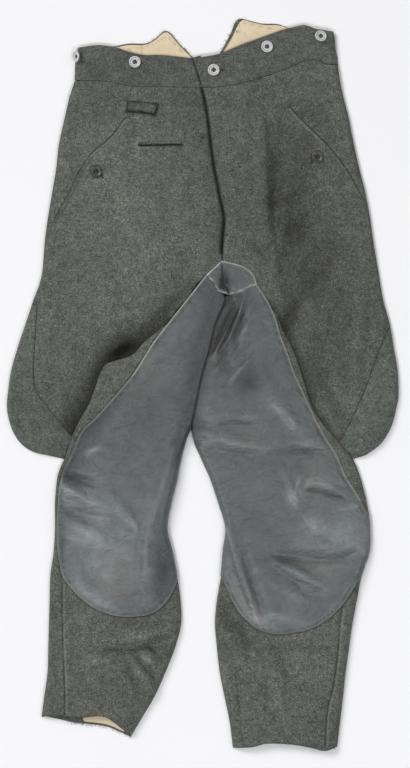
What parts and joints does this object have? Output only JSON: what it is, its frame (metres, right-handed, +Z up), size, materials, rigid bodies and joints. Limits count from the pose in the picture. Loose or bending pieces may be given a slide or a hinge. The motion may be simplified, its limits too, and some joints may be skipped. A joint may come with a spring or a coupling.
{
  "type": "riding breeches laid flat",
  "caption": "Flared wool riding breeches laid flat, front up, with leather inside legs, a fishtail back waist and slanted pocket mouths.",
  "frame": {"origin": "centre of the garment's outline on the surface it lies on", "axes": "+Y towards the waist, +Z up from the surface through back and front, +X towards the wearer's left"},
  "size_m": [0.587, 1.0948, 0.0181],
  "materials": {
    "wool": "matt, napped",
    "wool_insert": "matt, napped",
    "leather": "satin, soft grain",
    "lining": "matt",
    "metal_button": "worn",
    "dark_button": "worn"
  },
  "bodies": {
    "root": {"back_right": "wool", "back_left": "wool", "back_tail_right": "wool", "back_tail_left": "wool", "tail_lining_right": "lining", "tail_lining_left": "lining", "hem_lining_right": "lining", "front_right": "wool", "front_left": "wool", "leg_front_right": "wool", "leg_front_left": "wool", "flare_insert_right": "wool_insert", "flare_insert_left": "wool_insert", "saddle_leather_right": "leather", "saddle_leather_left": "leather", "leg_leather_right": "leather", "leg_leather_left": "leather", "waistband_right": "wool", "waistband_left": "wool", "pocket_welt_right": "wool", "pocket_welt_left": "wool", "fob_welt_right": "wool", "belt_tab_right": "wool", "button_waist_right": "metal_button", "button_waist_right_side": "metal_button", "button_waist_left": "metal_button", "button_waist_left_side": "metal_button", "button_closing": "metal_button", "button_pocket_right": "dark_button", "button_pocket_left": "dark_button"}
  },
  "joints": []
}
